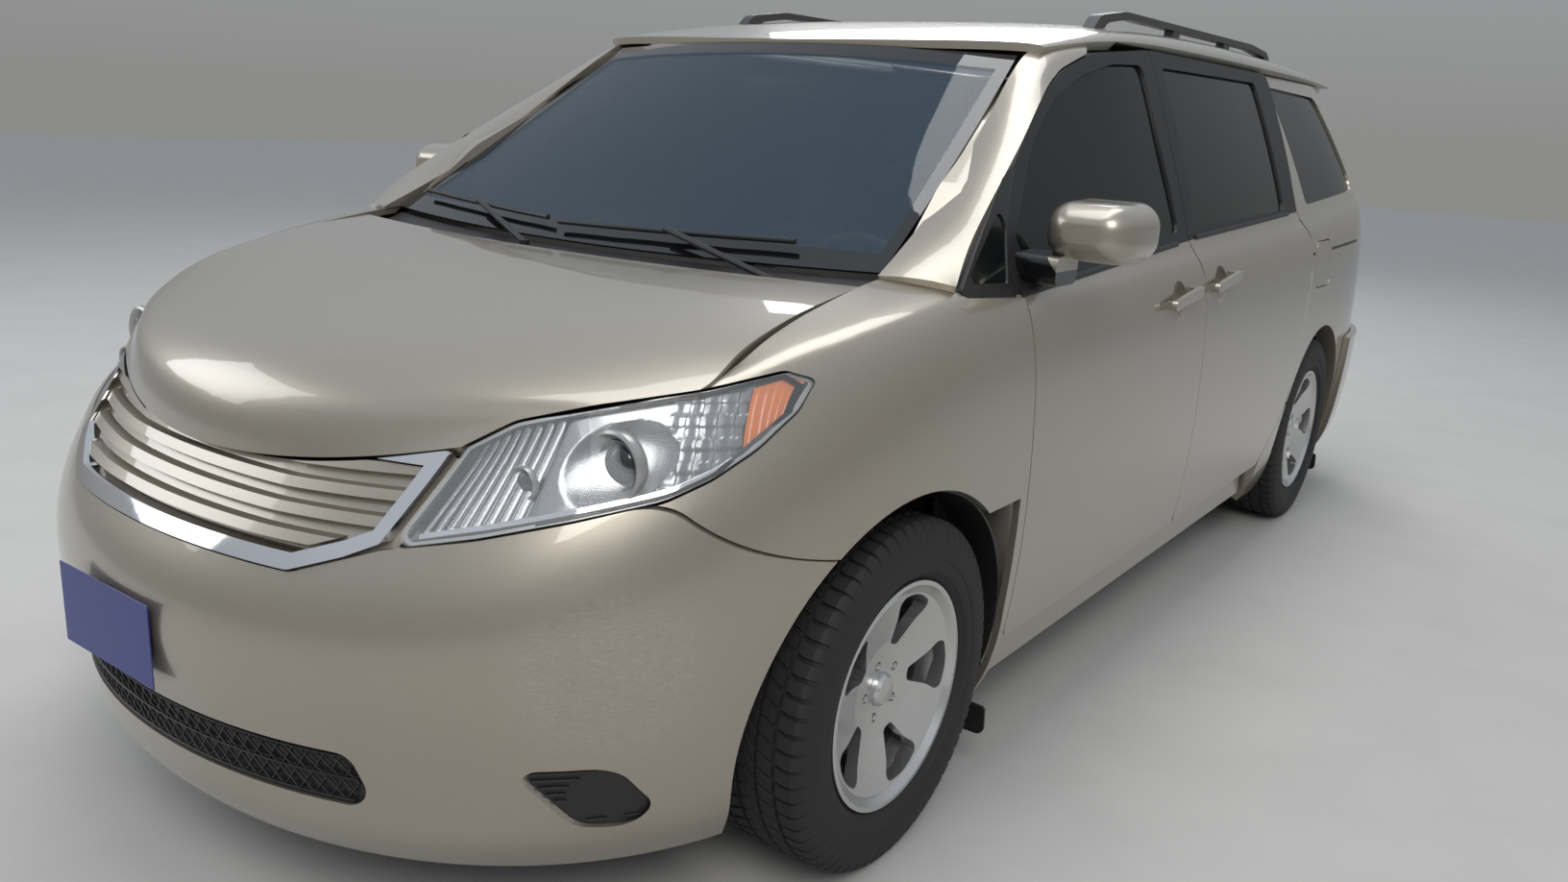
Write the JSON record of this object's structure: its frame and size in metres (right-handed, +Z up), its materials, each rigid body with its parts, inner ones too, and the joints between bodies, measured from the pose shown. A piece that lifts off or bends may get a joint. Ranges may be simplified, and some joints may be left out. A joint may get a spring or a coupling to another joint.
{
  "type": "minivan",
  "caption": "Full-size minivan with hinged front doors, hood, liftgate and fuel lid, steered front wheels and a furnished cabin.",
  "frame": {"origin": "on the ground, midway along the length and width", "axes": "+Z up, nose towards -Y, the vehicle's left side towards +X"},
  "size_m": [2.2602, 5.0828, 1.7678],
  "materials": {
    "paint": "metallic",
    "glass": "tinted",
    "windscreen": "clear",
    "lens": "clear",
    "black_plastic": "matte",
    "grey_plastic": "satin",
    "chrome": "polished",
    "alloy": "satin",
    "tyre": "matte",
    "chassis": "satin",
    "cast": "rough",
    "steel": "rough",
    "fabric": "woven",
    "red_lens": "gloss",
    "plate": "gloss",
    "grille_paint": "gloss"
  },
  "bodies": {
    "body": {"a_pillars": "paint", "bumper_inserts": "black_plastic", "cowl_panel": "black_plastic", "dashboard": "grey_plastic", "engine": "cast", "exhaust": "steel", "floor_pan": "chassis", "front_bumper": "paint", "front_fenders": "paint", "front_plate": "plate", "front_seats": "fabric", "front_subframe": "chassis", "front_wipers": "black_plastic", "fuel_tank": "black_plastic", "grille_bars": "grille_paint", "grille_surround": "chrome", "headlamp_housings": "grey_plastic", "headlamp_lenses": "lens", "middle_seats": "fabric", "mud_flaps": "black_plastic", "quarter_panels": "paint", "quarterlight_frames": "black_plastic", "radiator": "chassis", "radiator_support": "chassis", "rear_axle": "chassis", "rear_bench": "fabric", "rear_bumper": "paint", "roof_panel": "paint", "roof_rails": "grey_plastic", "side_frames": "paint", "side_windows": "glass", "sliding_doors": "paint", "tail_lamps": "red_lens", "wheel_liners": "black_plastic", "windshield": "windscreen"},
    "hood": {"hood": "paint"},
    "liftgate": {"liftgate": "paint", "liftgate_glass": "glass"},
    "fuel_lid": {"fuel_lid": "paint"},
    "steering_wheel": {"steering_wheel": "grey_plastic"},
    "front_door_left": {"front_door_left": "paint", "front_door_glass_left": "glass", "mirror_left": "paint"},
    "front_door_right": {"front_door_right": "paint", "front_door_glass_right": "glass", "mirror_right": "paint"},
    "knuckle_left": {"knuckle_left": "cast"},
    "knuckle_right": {"knuckle_right": "cast"},
    "wheel_front_left": {"tyre_front_left": "tyre", "rim_front_left": "alloy"},
    "wheel_front_right": {"tyre_front_right": "tyre", "rim_front_right": "alloy"},
    "wheel_rear_left": {"tyre_rear_left": "tyre", "rim_rear_left": "alloy"},
    "wheel_rear_right": {"tyre_rear_right": "tyre", "rim_rear_right": "alloy"}
  },
  "joints": [
    {"name": "steer_left", "type": "hinge", "parent": "body", "child": "knuckle_left", "pos_m": [0.77, -1.5575, 0.225], "axis": [-0.2442, 0, 0.9697], "range_deg": [-38, 38]},
    {"name": "steer_right", "type": "hinge", "parent": "body", "child": "knuckle_right", "pos_m": [-0.77, -1.5575, 0.225], "axis": [0.2442, 0, 0.9697], "range_deg": [-38, 38]},
    {"name": "steering_wheel_turn", "type": "hinge", "parent": "body", "child": "steering_wheel", "pos_m": [0.37, -0.8, 0.968], "axis": [0, 0.9149, 0.4036], "range_deg": [-550, 550]},
    {"name": "front_door_left_hinge", "type": "hinge", "parent": "body", "child": "front_door_left", "pos_m": [0.99, -1.112, 0.75], "axis": [0, 0, -1], "range_deg": [0, 68]},
    {"name": "front_door_right_hinge", "type": "hinge", "parent": "body", "child": "front_door_right", "pos_m": [-0.99, -1.112, 0.75], "axis": [0, 0, 1], "range_deg": [0, 68]},
    {"name": "hood_hinge", "type": "hinge", "parent": "body", "child": "hood", "pos_m": [0, -1.47, 1.085], "axis": [-1, 0, 0], "range_deg": [0, 50]},
    {"name": "liftgate_hinge", "type": "hinge", "parent": "body", "child": "liftgate", "pos_m": [0, 2.1325, 1.7], "axis": [1, 0, 0], "range_deg": [0, 80]},
    {"name": "fuel_lid_hinge", "type": "hinge", "parent": "body", "child": "fuel_lid", "pos_m": [0.985, 1.2645, 1.008], "axis": [0, 0, -1], "range_deg": [0, 85]},
    {"name": "wheel_front_left_spin", "type": "hinge", "parent": "knuckle_left", "child": "wheel_front_left", "pos_m": [0.86, -1.5575, 0.354], "axis": [1, 0, 0], "continuous": true},
    {"name": "wheel_front_right_spin", "type": "hinge", "parent": "knuckle_right", "child": "wheel_front_right", "pos_m": [-0.86, -1.5575, 0.354], "axis": [1, 0, 0], "continuous": true},
    {"name": "wheel_rear_left_spin", "type": "hinge", "parent": "body", "child": "wheel_rear_left", "pos_m": [0.86, 1.4725, 0.354], "axis": [1, 0, 0], "continuous": true},
    {"name": "wheel_rear_right_spin", "type": "hinge", "parent": "body", "child": "wheel_rear_right", "pos_m": [-0.86, 1.4725, 0.354], "axis": [1, 0, 0], "continuous": true}
  ],
  "couplings": [
    {"joint": "steer_right", "follows": "steer_left", "ratio": 1},
    {"joint": "steering_wheel_turn", "follows": "steer_left", "ratio": 14.4}
  ]
}
